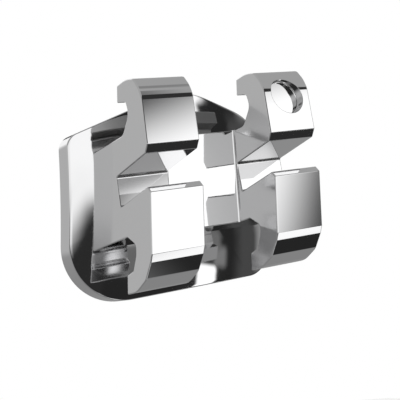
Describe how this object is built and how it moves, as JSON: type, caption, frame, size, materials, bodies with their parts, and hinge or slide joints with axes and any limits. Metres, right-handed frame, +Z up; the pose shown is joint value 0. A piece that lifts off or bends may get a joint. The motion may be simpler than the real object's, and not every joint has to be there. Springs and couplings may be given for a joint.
{
  "type": "orthodontic bracket",
  "caption": "Twin tie-wing orthodontic bracket with an angled archwire slot and a bowed, studded bonding base.",
  "frame": {"origin": "middle of the bonded side of the base, behind the middle of the archwire slot", "axes": "+X along the dental arch, -Y away from the tooth, +Z up the long axis of the tooth, which the bracket's sides follow"},
  "size_m": [0.0038, 0.0021, 0.0035],
  "materials": {
    "polished_steel": "tumbled and polished to a mirror"
  },
  "bodies": {
    "root": {"bracket": "polished_steel"}
  },
  "joints": []
}
